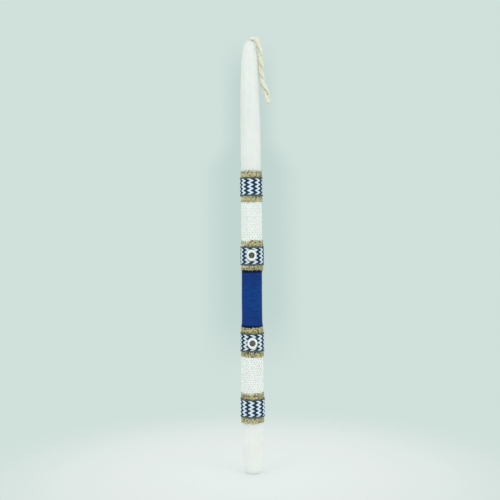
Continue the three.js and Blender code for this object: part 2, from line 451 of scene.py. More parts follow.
def strandFray(label, line):
    fray, lint, last = wick["fray"], wick["lint"], wick["stops"]
    loose = []
    for _ in range(fray["fibres"]):
        at = last - random.randint(0, int(last * fray["run"] / tailLength))
        forward = (line[at] - line[at - 4]).normalized()
        away = anyWay()
        start = line[at] + away.normalized() * fray["seat"]
        reach = (last - at) / last * tailLength + uniform(*fray["past"])
        loose.append(fibre(start, forward + away * 0.14, reach, fray["curl"], fray["thickness"]))
    for _ in range(lint["fibres"]):
        at = random.randint(6, last - 12)
        forward = (line[at + 2] - line[at - 2]).normalized()
        away = anyWay()
        away = (away - forward * away.dot(forward)).normalized()
        heading = away + forward * uniform(-1, 1)
        reach = uniform(*lint["length"])
        loose.append(fibre(line[at] + away * lint["seat"], heading, reach, lint["curl"], lint["thickness"]))
    return tuft(f"wick_fray_{label}", loose)


def cottonMaterial():
    material, shader, spot, _ = newMaterial(
        "waxed_cotton", Roughness=0.85, Sheen_Weight=0.25, Sheen_Roughness=0.5,
        Subsurface_Weight=0.3, Subsurface_Scale=0.001, Subsurface_Radius=(1, 0.8, 0.5),
    )
    fine = noiseOn(spot, 2600, 2)
    patch = noiseOn(spot, 260, 2)
    shade = ramp(plus(times(fine, 0.5), times(patch, 0.5)), 0.3, 0.7)
    tint = blendOf(shade, (218, 216, 192), (242, 241, 227))
    dress(shader, Base_Color=tint, Normal=bump(fine, 0.12, 0.6))
    return material


cotton = cottonMaterial()
for label, (strand, line) in strands.items():
    fray = strandFray(label, line)
    mend(strand)
    smooth(strand, 70)
    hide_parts(f"wick_strand_{label}")
    [list(point * mm) for point in line]
    finish(strand, cotton)
    finish(fray, cotton)
    print("wick strand", label)
wear(nodes["wick_core"], cotton)

# Wax taper

wax = {
    "length": 399, "footRadius": 3.6, "footHeight": 12.5, "lowerRadius": 9.35, "upperRadius": 8.95,
    "noseLength": 115, "tipRadius": 2.9, "noseFullness": 4.15, "noseRoundness": 3.5,
    # Radius and height over the tip, round the collar where the wick leaves the wax
    "lip": ((2.9, -0.1), (2.75, 0.15), (2.5, 0.5), (2.3, 0.9), (2.12, 1.1), (1.95, 0.9), (1.95, -4)),
    "boreEnd": (1.95, 6),  # radius and height over the foot
    "sides": 96, "footRings": 14, "bodyRings": 40, "noseRings": 44, "unevenness": 0.035,
    "swell": 0.25,  # the bare wax over the top band is a little thicker, between these heights
    "swellFrom": (280, 290), "swellTo": (335, 322),
}
noseStart = wax["length"] - wax["noseLength"]


def waxRadius(z):
    foot = wax["footHeight"]
    if z < foot:
        up = (foot - z) / foot
        return wax["footRadius"] + (wax["lowerRadius"] - wax["footRadius"]) * sqrt(1 - up * up)
    if z <= noseStart:
        share = (z - foot) / (noseStart - foot)
        return wax["lowerRadius"] + (wax["upperRadius"] - wax["lowerRadius"]) * share
    along = (z - noseStart) / wax["noseLength"]
    full = max(0, 1 - along ** wax["noseFullness"]) ** (1 / wax["noseRoundness"])
    return max(wax["tipRadius"], wax["upperRadius"] * full)


def waxRings():
    # Radius and height of each ring: up the outside, over the collar and down the bore.
    foot, quarter = wax["footHeight"], pi / 2
    heights = [foot * (1 - cos(quarter * i / wax["footRings"])) for i in range(1, wax["footRings"] + 1)]
    heights += [foot + (noseStart - foot) * i / wax["bodyRings"] for i in range(1, wax["bodyRings"] + 1)]
    for i in range(1, wax["noseRings"]):
        heights.append(noseStart + wax["noseLength"] * sin(quarter * i / wax["noseRings"]))
    rings = [(waxRadius(z), z) for z in heights]
    rings += [(radius, wax["length"] + above) for radius, above in wax["lip"]]
    return [*rings, wax["boreEnd"]]


taper = added(
    bpy.ops.mesh.primitive_circle_add, "wax_taper",
    vertices=wax["sides"], radius=wax["footRadius"] * mm, fill_type="NGON",
)
edit(taper)
lastRadius, lastHeight = wax["footRadius"], 0
for radius, height in waxRings():
    bpy.ops.mesh.extrude_region_move(TRANSFORM_OT_translate={"value": (0, 0, (height - lastHeight) * mm)})
    share = radius / lastRadius
    bpy.ops.transform.resize(value=(share, share, 1), center_override=(0, 0, height * mm))
    lastRadius, lastHeight = radius, height
mend(taper)


def unevenWax(x, y, z):
    radius, up = hypot(x, y), z / mm
    if radius < 2.5 * mm or up < 0.5:  # the bore and the flat of the foot stay true
        return x, y, z
    angle = atan2(y, x)
    dent = wander(1, cos(angle) * 0.8, up * 0.03) + 0.5 * wander(2, sin(angle) * 1.4, up * 0.012)
    swell = smoothStep(up, *wax["swellFrom"]) * smoothStep(up, *wax["swellTo"])
    share = 1 + (wax["unevenness"] * dent + wax["swell"] * swell) * mm / radius
    return x * share, y * share, z


reshape(taper, unevenWax)
smooth(taper, 50)


def waxMaterial():
    material, shader, spot, _ = newMaterial(
        "white_wax", Roughness=0.36, IOR=1.44,
        Subsurface_Weight=0.65, Subsurface_Scale=0.007, Subsurface_Radius=(1, 0.85, 0.7),
    )
    cloud = noiseOn(spot, 60, 3)
    scuff = noiseOn(stretched(spot, (900, 900, 40)), 1, 3)
    grain = noiseOn(spot, 900, 2)
    tint = blendOf(ramp(cloud, 0.35, 0.65), (232, 234, 231), (236, 237, 234))
    tint = blendOf(ramp(scuff, 0.62, 0.8, 0, 0.2), tint, (243, 244, 240))
    relief = bump(grain, 0.02, 0.5, bump(scuff, 0.015, 0.5))
    dress(shader, Base_Color=tint, Roughness=ramp(scuff, 0.3, 0.75, 0.3, 0.46), Normal=relief)
    return material


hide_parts("candle_body")
finish(taper, waxMaterial())
print("wax taper")

# Bands: what lies under each jute ribbon at its lower and upper edge, as a height over the wax

layers = {"gap": 0.1, "tape": 0.3, "lace": 0.5, "thickLace": 0.75, "juteWidth": 27.6, "juteThickness": 0.4}
bands = {
    1: {"middle": 265.1, "under": (layers["tape"], layers["tape"])},
    2: {"middle": 201.8, "under": (layers["lace"], layers["lace"])},
    3: {"middle": 122.4, "under": (layers["thickLace"], layers["lace"])},
    4: {"middle": 61.7, "under": (layers["thickLace"], layers["thickLace"])},
}


def juteInner(band, z):
    low, high = band["under"]
    share = (z - band["middle"]) / layers["juteWidth"] + 0.5
    return waxRadius(z) + low + (high - low) * share + layers["gap"]


def zigzagInner(band, z):
    return juteInner(band, z) + layers["juteThickness"] + layers["gap"]


# Flat cloth lies in the XZ plane, facing -Y. This winds it round the candle, with its seam at the back.
def windRound(piece, middleRadius, inner, lift=None):
    def place(x, y, z):
        angle = x / mm / middleRadius - pi / 2
        radius = (inner(z / mm) - y / mm + (lift(angle) if lift else 0)) * mm
        return radius * cos(angle), radius * sin(angle), z

    reshape(piece, place)


def climb(height, past):  # an overlapping end climbs on the start of its own strip
    full = pi - past / 2
    return lambda angle: height * smoothStep(angle + pi / 2, full - 0.3, full)


def spanOf(wrap, extra):  # of lace or satin: its height, the height and radius of its middle, its length
    middle = (wrap["top"] + wrap["bottom"]) / 2
    radius = waxRadius(middle) + wrap["lift"]
    return wrap["top"] - wrap["bottom"], middle, radius, 2 * pi * radius + extra


def strip(name, length, width, columns, rows):
    piece = added(
        bpy.ops.mesh.primitive_grid_add, name,
        x_subdivisions=columns, y_subdivisions=rows, size=1, rotation=(pi / 2, 0, 0),
    )
    piece.scale = (length * mm, width * mm, 1)
    bpy.ops.object.transform_apply()
    return piece


# Jute ribbons: an open plain weave of rough yarn

jute = {
    "pitch": 1.62, "warpYarns": 17, "yarnWidth": 1.04, "yarnDepth": 0.34, "wave": 0.15,
    "middle": 0.24, "slub": 0.32, "stray": 0.24, "twistPitch": 2.9, "stepsPerCrossing": 4,
    "sides": 8, "endRun": 0.5, "edgeWave": 0.34,
    # Bumps in a ribbon's edge: band, side (1 for the upper edge), height, angle from the front, reach
    "bumps": (
        (1, -1, -1.3, -0.4, 0.25), (2, 1, 0.8, 0.12, 0.35), (2, 1, -1.1, -0.7, 0.4), (3, 1, 0.8, 1.35, 0.45),
    ),
    "raised": {(1, 1): 0.6, (2, -1): 0.5},  # edges that lie higher all round
    "underZigzag": 8.3, "edgeFibres": 150, "faceFibres": 90, "seed": 20,
}


def edgeShift(number, angle, side):
    # How far a ribbon's edge wanders up or down at an angle from the front.
    shift = jute["edgeWave"] * wander(number * 2 + side, sin(angle) * 1.9, cos(angle) * 1.9)
    for band, edge, height, middle, reach in jute["bumps"]:
        if (band, edge) == (number, side):
            shift += height * hump(angle, middle, reach)
    return shift + jute["raised"].get((number, side), 0)


# Painted shade: the tone falls with depth in the weave, half of it being the yarn's own random tone, and the
# jute material darkens low tones, so the hollows between yarns are shaded in colour.
def shadedByDepth(tone):  # what lies deep in the weave has a lower tone
    return lambda point: 0.45 * tone + 0.55 * min(1, max(0, (-point.y / mm - 0.05) / 0.45))


def juteRibbon(number):
    band, width = bands[number], layers["juteWidth"]
    random.seed(jute["seed"] + number)
    middleRadius = juteInner(band, band["middle"])
    length = 2 * pi * middleRadius - 0.4
    weftCount = round(length / jute["pitch"])
    weftPitch = length / weftCount
    warpPitch = width / (jute["warpYarns"] + 0.1)
    yarns = []

    def settled(x, up):
        # Edges wander, and the zigzag ribbon presses the middle of the weave flat.
        angle = x / middleRadius
        share = abs(up) / (width / 2)
        free = smoothStep(share, 0.35, 1)
        pressed = 1 - 0.3 * (1 - smoothStep(abs(up), jute["underZigzag"], jute["underZigzag"] + 1.2))
        return up + free * edgeShift(number, angle, 1 if up > 0 else -1), pressed

    def addYarn(alongX, fixed, wide, phase):
        steps = (weftCount if alongX else jute["warpYarns"]) * jute["stepsPerCrossing"]
        reach = length if alongX else width + uniform(-0.5, 0.9)
        off = 0 if alongX else uniform(-0.3, 0.3)
        seed = uniform(0, 90)
        sign = 1 if alongX else -1

        def place(along, angle):
            run = (along - 0.5) * reach + off
            crossing = run / (weftPitch if alongX else warpPitch)
            bulk = 1 + jute["slub"] * wander(seed, run * 0.35, 1)
            bulk *= rounded(along, reach, jute["endRun"])
            lobes = 1 + 0.1 * cos(2 * angle - 2 * pi * run / jute["twistPitch"])
            side = wide / 2 * bulk * lobes * cos(angle) + jute["stray"] * wander(seed + 5, run * 0.3, 2)
            x, up = (run, fixed + side) if alongX else (fixed + side, run)
            up, pressed = settled(x, up)
            wave = sign * jute["wave"] * cos(pi * (crossing + phase))
            out = jute["middle"] + (wave + jute["yarnDepth"] / 2 * bulk * lobes * sin(angle)) * pressed
            return x, -out, band["middle"] + up

        yarn = rolled("yarn", steps, jute["sides"], place)
        scaleUv(yarn, reach / jute["twistPitch"], 1)
        setTone(yarn, shadedByDepth(random.random()))
        yarns.append(yarn)

    for i in range(jute["warpYarns"]):
        up = (i - (jute["warpYarns"] - 1) / 2) * warpPitch
        addYarn(True, up, jute["yarnWidth"] * uniform(0.82, 1.12), i + weftCount / 2)
    for j in range(weftCount):
        x = (j - (weftCount - 1) / 2) * weftPitch
        addYarn(False, x, jute["yarnWidth"] * uniform(0.8, 1.1), j + (jute["warpYarns"] - 1) / 2)
    loose = []
    for i in range(jute["edgeFibres"] + jute["faceFibres"]):
        x = uniform(-0.5, 0.5) * length
        side = random.choice((-1, 1))
        out = Vector((0, -jute["middle"] - uniform(0, 0.2), band["middle"]))
        if i < jute["edgeFibres"]:
            up = side * (width / 2 - 0.5) + edgeShift(number, x / middleRadius, side)
            heading = Vector((uniform(-0.9, 0.9), uniform(-0.3, 0.1), side))
            reach = uniform(0.7, 1.7)
        else:
            up = side * uniform(jute["underZigzag"] + 1, width / 2 - 1)
            heading = Vector((uniform(-1, 1), uniform(-0.7, -0.1), uniform(-1, 1)))
            reach = uniform(0.5, 1.3)
        loose.append(fibre(out + Vector((x, 0, up)), heading, reach, 0.35, uniform(0.7, 1.3), 4))
    fuzz = tuft("jute_fuzz", loose)
    setTone(fuzz, shadedByDepth(0.9))
    ribbon = joined(f"jute_weave_{number}", [*yarns, fuzz])
    mend(ribbon)
    windRound(ribbon, middleRadius, lambda z: juteInner(band, z))
    smooth(ribbon, 60)
    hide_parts(f"jute_ribbon_{number}")
    return ribbon


def juteMaterial():
    material, shader, spot, flat = newMaterial(
        "jute_yarn", Roughness=0.95, Sheen_Weight=0.2, Sheen_Roughness=0.6
    )
    # The tone carries painted shade deep in the weave, as well as each yarn's own tone.
    tone = toneOf(shader)
    fibres = noiseOn(stretched(flat, (2.2, 9, 1)), 1.6, 3)
    patch = noiseOn(spot, 620, 2)
    shade = plus(times(fibres, 0.4), times(patch, 2.2), times(tone, 0.6))
    pale = blendOf(ramp(shade, 1.3, 1.85), (72, 66, 38), (206, 197, 144))
    # Painted shade: the lowest tones, deepest in the weave, go darker still.
    deep = blendOf(ramp(tone, 0.14, 0.3, 0.55, 0), pale, (66, 58, 32))
    dress(shader, Base_Color=deep, Normal=bump(fibres, 0.16, 0.8))
    return material


juteLook = juteMaterial()
for number in bands:
    finish(juteRibbon(number), juteLook)
print("jute ribbons")

# Zigzag ribbons: a woven trim with corded navy edges

zigzag = {
    "width": 17.3, "thickness": 0.6, "overlap": 5, "columns": 124, "rows": 176,
    "threads": 44,  # warp threads across the ribbon
    "threadRelief": 0.05, "selvedge": 1.45, "stripeSpacing": 7.28, "stripeWidth": 4.08,
    "toothReach": 3.5, "toothPitch": 3.6,
    "grooveDepth": 0.16,  # between the face and the corded edge
    "grooveReach": 0.22, "cordMiddle": 0.36, "cordDepth": 0.3, "cordHeight": 0.4, "cordTurn": 0.95,
    "stripeAt": {1: 13.9, 2: -5.9, 3: 22.3, 4: 12.1},  # angle of one stripe from the front, degrees
}


def zigzagRibbon(number):
    band, width, thick = bands[number], zigzag["width"], zigzag["thickness"]
    middleRadius = zigzagInner(band, band["middle"])
    past = zigzag["overlap"] / middleRadius
    length = 2 * pi * middleRadius + zigzag["overlap"]
    pitch = width / zigzag["threads"]
    cloth = strip(f"zigzag_trim_{number}", length, width, zigzag["columns"], zigzag["rows"])
    reshape(cloth, lambda x, y, z: (x, y - thick * mm, z))
    modify(cloth, "SOLIDIFY", thickness=thick * mm, offset=-1)

    def woven(x, y, z):
        up = z / mm
        edge = width / 2 - abs(up)
        out = -y / mm
        if out > thick / 2:
            out += zigzag["threadRelief"] * (abs(cos(pi * up / pitch)) - 0.6)
            out -= zigzag["grooveDepth"] * hump(edge, zigzag["selvedge"], zigzag["grooveReach"])
            out -= 0.25 * (1 - smoothStep(edge, 0, 0.3))
        up += 0.07 * wander(number, x / mm * 0.12, 4)
        return x, -out * mm, up * mm

    reshape(cloth, woven)
    parts = [cloth]
    for side in (-1, 1):
        centre = side * (width / 2 - zigzag["cordHeight"])

        def place(along, angle):
            run = (along - 0.5) * length
            size = 1 + 0.13 * sin(2 * pi * run / zigzag["cordTurn"] + side * angle)
            size *= rounded(along, length, 0.4)
            up = centre + zigzag["cordHeight"] * size * sin(angle)
            up += 0.1 * wander(number + 9 + side, run * 0.2, 3)
            out = zigzag["cordMiddle"] + zigzag["cordDepth"] * size * cos(angle)
            return run, -max(out, 0.02), up

        cord = rolled("selvedge_cord", int(length / 0.19), 8, place)
        scaleUv(cord, 1, 0.02)
        parts.append(cord)
    ribbon = joined(f"zigzag_trim_{number}", parts)
    reshape(ribbon, lambda x, y, z: (x, y, z + band["middle"] * mm))
    mend(ribbon)
    climbing = climb(thick + layers["gap"], past)
    windRound(ribbon, middleRadius, lambda z: zigzagInner(band, z), climbing)
    smooth(ribbon, 60)
    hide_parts(f"zigzag_ribbon_{number}")
    return ribbon, length, middleRadius


def zigzagMaterial(number, length, middleRadius):
    material, shader, _, flat = newMaterial(f"zigzag_weave_{number}", Roughness=0.9, Specular_IOR_Level=0.06)
    width, spacing, pitch = zigzag["width"], zigzag["stripeSpacing"], zigzag["width"] / zigzag["threads"]
    half = zigzag["toothPitch"] / 2
    faceRadius = middleRadius + zigzag["thickness"]
    faceLength = length * faceRadius / middleRadius
    flat = stretched(flat, (faceLength, width, 1), (-faceLength / 2, 0, 0))
    along, up = axesOf(flat)[:2]
    along = plus(along, times(minus(noiseOn(flat, 1.7, 2), 0.5), 0.5))
    # Each thread is navy or white as a whole, so the teeth are stepped.
    thread = times(plus(sums("FLOOR", sums("DIVIDE", up, pitch)), 0.5), pitch)
    tooth = sums("PINGPONG", minus(thread, width / 2 - 40 * half), half)
    start = radians(zigzag["stripeAt"][number]) * faceRadius - zigzag["toothReach"] / 2
    across = minus(along, times(tooth, zigzag["toothReach"] / half), start - 20 * spacing)
    stripe = zigzag["stripeWidth"] / 2
    navyShare = ramp(sums("PINGPONG", across, spacing / 2), stripe + 0.04, stripe - 0.04)
    fromEdge = minus(width / 2, sums("ABSOLUTE", minus(up, width / 2)))
    edgeShare = ramp(fromEdge, zigzag["selvedge"] + 0.1, zigzag["selvedge"] - 0.05)
    floats = texture(
        "TexBrick", flat, "Fac",
        Scale=1, Mortar_Size=0.045, Mortar_Smooth=1.0, Brick_Width=1.15, Row_Height=pitch,
    )
    grain = noiseOn(flat, 3.4, 3)
    rough = ramp(grain, 0.3, 0.7)
    navy = blendOf(rough, (18, 48, 72), (34, 70, 98))
    white = blendOf(rough, (219, 231, 238), (234, 243, 250))
    edging = blendOf(ramp(grain, 0.4, 0.6), (52, 66, 76), (108, 114, 108))
    cloth = blendOf(edgeShare, blendOf(navyShare, white, navy), edging)
    # Painted shade: the mortar of the brick pattern, the gaps between thread floats, is darkened towards
    # these colours.
    gapShade = blendOf(navyShare, (194, 208, 218), (12, 32, 50))
    relief = bump(minus(1, floats), 0.06, 0.7, bump(grain, 0.03, 0.5))
    dress(shader, Base_Color=blendOf(times(floats, 0.4), cloth, gapShade), Normal=relief)
    return material


for number in bands:
    ribbon, length, radius = zigzagRibbon(number)
    finish(ribbon, zigzagMaterial(number, length, radius))
print("zigzag ribbons")

# Lace wraps: one holed cell, repeated across the strip and up it

laces = {
    "upper": {
        "bottom": 212.6, "top": 251.0, "lift": 0.1, "thickness": 0.34,
        "cell": (2.8, 2.4), "hole": (1.15, 0.8), "rim": 0.17, "slide": 0.25, "rope": 0.0, "bulge": 0.05,
    },
    "lower": {
        "bottom": 72.5, "top": 111.6, "lift": 0.2, "thickness": 0.42,
        "cell": (2.42, 2.06), "hole": (1.3, 0.62), "rim": 0.12, "slide": 0.25, "rope": 0.16, "bulge": 0.3,
    },
}
laceForm = {"rimAt": 1.35, "rimReach": 0.35, "ropeReach": 0.16, "hem": (3, 4.5)}


def laceWrap(label):
    lace = laces[label]
    height, _, middleRadius, length = spanOf(lace, -0.4)
    columns = round(length / lace["cell"][0])
    rows = round(height / lace["cell"][1])
    cellWidth, cellHeight = length / columns, height / rows
    cell = strip(f"lace_{label}", cellWidth, cellHeight, 4, 4)

    def inMiddle(face):  # the middle four of 16, which make way for the hole
        return max(abs(face.center.x) / cellWidth, abs(face.center.z) / cellHeight) < 0.2 * mm

    editOnly(cell, "FACE", "polygons", inMiddle)
    bpy.ops.mesh.delete(type="FACE")
    pick(cell)

    def roundHole(x, y, z):
        if abs(x) < cellWidth * 0.3 * mm and abs(z) < cellHeight * 0.3 * mm:
            angle = atan2(z / cellHeight, x / cellWidth)
            return lace["hole"][0] / 2 * cos(angle) * mm, y, lace["hole"][1] / 2 * sin(angle) * mm
        return x, y, z

    reshape(cell, roundHole)
    left, low = (length - cellWidth) / 2, lace["bottom"] + cellHeight / 2
    reshape(cell, lambda x, y, z: (x - left * mm, y, z + low * mm))
    for count, step in ((columns, (cellWidth * mm, 0, 0)), (rows, (0, 0, cellHeight * mm))):
        modify(
            cell, "ARRAY", count=count, use_relative_offset=False, use_constant_offset=True,
            constant_offset_displace=step, use_merge_vertices=True, merge_threshold=0.01 * mm,
        )
    modify(cell, "SUBSURF", levels=1, render_levels=1)

    def worked(x, y, z):
        # Raised rims round the holes, a rope between the rows, and every second row slid half a cell.
        along, up = x / mm, (z / mm - lace["bottom"]) / cellHeight
        over = (along + length / 2) / cellWidth
        fromX = (over - floor(over) - 0.5) * cellWidth / (lace["hole"][0] / 2)
        fromZ = (up - floor(up) - 0.5) * cellHeight / (lace["hole"][1] / 2)
        out = lace["thickness"] + 0.03 * wander(5, along * 0.2, z / mm * 0.2)
        out += lace["rim"] * hump(hypot(fromX, fromZ), laceForm["rimAt"], laceForm["rimReach"])
        out += lace["rope"] * hump(up, round(up), laceForm["ropeReach"])
        fromEdge = min(z / mm - lace["bottom"], lace["top"] - z / mm)
        out += lace["bulge"] * smoothStep(fromEdge, *laceForm["hem"])
        along -= lace["slide"] * cellWidth * cos(pi * (up - 0.5))
        return along * mm, -out * mm, z

    reshape(cell, worked)
    modify(cell, "SOLIDIFY", thickness=lace["thickness"] * 0.9 * mm, offset=-1)
    windRound(cell, middleRadius, lambda z: waxRadius(z) + lace["lift"])
    smooth(cell, 60)
    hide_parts(f"lace_wrap_{label}")
    return cell


def laceMaterial():
    material, shader, spot, _ = newMaterial(
        "white_lace", Roughness=0.9, Sheen_Weight=0.2, Sheen_Roughness=0.5,
        Subsurface_Weight=0.1, Subsurface_Scale=0.0006,
    )
    knit = texture("TexVoronoi", spot, "Distance", Scale=2300)
    grain = noiseOn(spot, 700, 3)
    holeShade = noiseOn(spot, 850, 1)
    tint = blendOf(ramp(grain, 0.35, 0.65), (244, 246, 241), (254, 255, 252))
    # Painted shade: darker between the stitches, where the knit bump sinks.
    tint = blendOf(ramp(knit, 0.4, 0.8, 0, 0.36), tint, (212, 216, 208))
    # Painted shade: small darker spots, for the shade in the lace's tiny holes.
    tint = blendOf(ramp(holeShade, 0.58, 0.7, 0, 0.45), tint, (188, 196, 186))
    dress(shader, Base_Color=tint, Normal=bump(knit, -0.08, 0.6, bump(grain, 0.05, 0.4)))
    return material


laceLook = laceMaterial()
for label in laces:
    finish(laceWrap(label), laceLook)
    print("lace", label)

# Satin wrap

satin = {
    "bottom": 133.2, "top": 191, "lift": 0.1, "thickness": 0.15, "overlap": 6, "columns": 150, "rows": 96,
    "wrinkle": 0.1,
    # Both ends stand out a little: how far, at what distance from the end, and over what reach
    "lowerFlare": (0.5, 3.2, 2.6), "upperFlare": (0.12, 3, 1.6),
}


def satinWrap():
    height, middle, middleRadius, length = spanOf(satin, satin["overlap"])
    past = satin["overlap"] / middleRadius
    cloth = strip("satin_band", length, height, satin["columns"], satin["rows"])
    reshape(cloth, lambda x, y, z: (x, y - satin["thickness"] * mm, z + middle * mm))
    modify(cloth, "SOLIDIFY", thickness=satin["thickness"] * mm, offset=-1)

    def creased(x, y, z):
        along, up = x / mm, z / mm
        folds = wander(31, along * 0.07 + up * 0.03, up * 0.11) + 0.6 * wander(32, along * 0.05, up * 0.3)
        out = -y / mm + satin["wrinkle"] * max(0, folds + 0.2)
        for end, fromEnd in (("lower", up - satin["bottom"]), ("upper", satin["top"] - up)):
            height, inset, reach = satin[f"{end}Flare"]
            out += height * hump(fromEnd, inset, reach)
        return x, -out * mm, z

    reshape(cloth, creased)
    climbing = climb(satin["thickness"] + layers["gap"], past)
    windRound(cloth, middleRadius, lambda z: waxRadius(z) + satin["lift"], climbing)
    smooth(cloth, 60)
    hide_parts("satin_wrap")
    return cloth


def satinMaterial():
    material, shader, spot, flat = newMaterial(
        "royal_satin", Roughness=0.5, Anisotropic=0.4, Specular_IOR_Level=0.03
    )
    weave = noiseOn(stretched(flat, (64, 1900, 1)), 1, 2)
    slub = noiseOn(stretched(flat, (9, 48, 1)), 1, 2)
    cloud = noiseOn(spot, 110, 2)
    fromEnd = minus(0.5, sums("ABSOLUTE", minus(axesOf(flat)[1], 0.5)))
    tint = blendOf(ramp(cloud, 0.35, 0.65), (20, 52, 110), (26, 62, 126))
    # Lighter blue towards the middle of the band, then weave and slub marks. The last mix is painted shadow:
    # a dark line along both ends of the band, where the jute edges and the flared hems shade it.
    for share, over in (
        (ramp(fromEnd, 0.12, 0.42, 0, 0.7), (25, 68, 138)),
        (ramp(weave, 0.35, 0.7, 0, 0.4), (32, 70, 142)),
        (ramp(slub, 0.4, 0.65, 0, 0.6), (18, 46, 116)),
        (ramp(fromEnd, 0.068, 0.095, 0.85, 0), (6, 14, 40)),
    ):
        tint = blendOf(share, tint, over)
    dress(shader, Base_Color=tint, Roughness=ramp(weave, 0.3, 0.7, 0.36, 0.5), Normal=bump(weave, 0.02, 0.5))
    return material


finish(satinWrap(), satinMaterial())
print("satin wrap")

# Eye charms: an oval resin ring round a faceted stone. Modelled lying flat, then stood on the ribbon.

charm = {
    "width": 9.3, "height": 10.7, "depth": 1.9, "hole": 5.15, "clearance": 0.25, "rise": 0.25,
    "sides": 64, "standOff": 0.5,
    # The stone is the hull of four discs: sides, share of its radius, thickness, height from the ring's
    # back and from the stone's top, and turn
    "discs": (
        (16, 1, 0.3, 0.5, 0, 0), (8, 0.6, 0.02, 1, -0.01, pi / 8), (8, 0.84, 0.02, 1, -0.34, 0),
        (8, 0.5, 0.02, 0, 0.05, 0),
    ),
    "profile": [
        (0, 0.3), (0.02, 0.6), (0.1, 0.8), (0.22, 0.93), (0.36, 1), (0.52, 1.01), (0.68, 0.97),
        (0.82, 0.87), (0.93, 0.68), (0.99, 0.46), (1, 0.26), (0.985, 0.08), (0.96, 0),
    ],
    "ridges": 22, "ridgeDepth": 0.05,
}
eyes = {"upper": {"band": 2, "above": 0.6, "turn": -0.04}, "lower": {"band": 3, "above": -0.3, "turn": 0.01}}


def standUp(piece, eye):
    band = bands[eye["band"]]
    seat = zigzagInner(band, band["middle"] - zigzag["width"] / 2) + zigzag["thickness"] + charm["standOff"]
    turn = Matrix.Rotation(eye["turn"], 3, "Z")
    middle = (band["middle"] + eye["above"]) * mm
    reshape(piece, lambda x, y, z: turn @ Vector((x, -seat * mm - z, middle + y)))


def charmRing(name):
    def sizeAt(share):
        return [charm["hole"] + (charm[side] - charm["hole"]) * share for side in ("width", "height")]

    ring = added(
        bpy.ops.mesh.primitive_circle_add, name,
        vertices=charm["sides"], radius=charm["hole"] / 2 * mm, fill_type="NOTHING",
    )
    edit(ring, "EDGE")
    lastWidth, lastHeight = sizeAt(0)
    lastDepth = 0
    for share, deep in charm["profile"]:
        wide, high = sizeAt(share)
        depth = deep * charm["depth"]
        bpy.ops.mesh.extrude_region_move(TRANSFORM_OT_translate={"value": (0, 0, (depth - lastDepth) * mm)})
        bpy.ops.transform.resize(value=(wide / lastWidth, high / lastHeight, 1), center_override=(0, 0, 0))
        lastWidth, lastHeight, lastDepth = wide, high, depth

    def atBack(part):
        return max(ring.data.vertices[i].co.z for i in part.vertices) < 0.01 * mm

    editOnly(ring, "EDGE", "edges", atBack)
    bpy.ops.mesh.bridge_edge_loops()
    mend(ring)

    def ridged(x, y, z):
        angle = atan2(y / charm["height"], x / charm["width"])
        groove = (0.5 + 0.5 * cos(charm["ridges"] * angle)) ** 6
        groove *= smoothStep(z / mm, charm["depth"] * 0.75, charm["depth"])
        return x, y, z - groove * charm["ridgeDepth"] * mm

    reshape(ring, ridged)
    # The height over the ring's back, which the resin material turns into painted shade.
    setTone(ring, lambda point: point.z / mm / charm["depth"])
    smooth(ring, 50)
    return ring


def charmStone(name):
    girdle = charm["hole"] / 2 - charm["clearance"]
    top = charm["depth"] + charm["rise"]
    discs = []
    for sides, share, thickness, level, above, turn in charm["discs"]:
        discs.append(added(
            bpy.ops.mesh.primitive_cylinder_add, "disc",
            vertices=sides, radius=girdle * share * mm, depth=thickness * mm,
            location=(0, 0, (top * level + above) * mm), rotation=(0, 0, turn),
        ))
        bpy.ops.object.transform_apply()
    stone = joined(name, discs)
    edit(stone)
    bpy.ops.mesh.convex_hull()
    mend(stone, 0.001)
    pick(stone)
    bpy.ops.object.shade_flat()
    return stone


def resinMaterial():
    material, shader, spot, _ = newMaterial(
        "ivory_resin", Roughness=0.22, Coat_Weight=0.5, Coat_Roughness=0.12,
        Subsurface_Weight=0.2, Subsurface_Scale=0.001, Subsurface_Radius=(1, 0.95, 0.85),
    )
    cloud = noiseOn(spot, 420, 2)
    tint = blendOf(ramp(cloud, 0.3, 0.7), (240, 241, 234), (248, 249, 244))
    # Painted shade: the ring goes darker down its sides towards the ribbon.
    deep = ramp(toneOf(shader), 0.45, 1, 0.8, 0)  # darker down the sides, towards the ribbon
    tint = blendOf(deep, tint, (152, 164, 160))
    dress(shader, Base_Color=tint, Roughness=ramp(cloud, 0.3, 0.7, 0.18, 0.28), Normal=bump(cloud, 0.01, 0.4))
    return material


def stoneMaterial():
    material, shader, spot, _ = newMaterial(
        "smoky_stone", Roughness=0.1, Specular_IOR_Level=0.7, Coat_Weight=0.6, Coat_Roughness=0.04
    )
    cloud = noiseOn(spot, 650, 2)
    tint = blendOf(ramp(cloud, 0.3, 0.7), (52, 56, 45), (78, 82, 69))
    dress(shader, Base_Color=tint, Roughness=ramp(cloud, 0.3, 0.7, 0.08, 0.16))
    return material


resin, smoke = resinMaterial(), stoneMaterial()
for label, eye in eyes.items():
    for build, kind, look in ((charmRing, "ring", resin), (charmStone, "stone", smoke)):
        piece = build(f"charm_{kind}_{label}")
        standUp(piece, eye)
        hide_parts(f"eye_{kind}_{label}")
        finish(piece, look)
print("eye charms")

# What stays from the CAD, inside the layers


def plainMaterial(name, pale, scale, **looks):
    material, shader, spot, _ = newMaterial(name, **looks)
    cloud = noiseOn(spot, scale, 3)
    tint = blendOf(ramp(cloud, 0.35, 0.65), (226, 222, 205), pale)
    dress(shader, Base_Color=tint, Normal=bump(cloud, 0.04, 0.4))
    return material


inside = {
    "ribbon_tape": plainMaterial("tissue_tape", (238, 235, 220), 500, Roughness=0.55),
    "eye_glue": plainMaterial("set_glue", (240, 238, 226), 300, Roughness=0.25, Subsurface_Weight=0.3),
}
for name, node in nodes.items():
    kind = name.rsplit("_", 1)[0]
    if kind in inside:
        wear(node, inside[kind])

# Stage and light

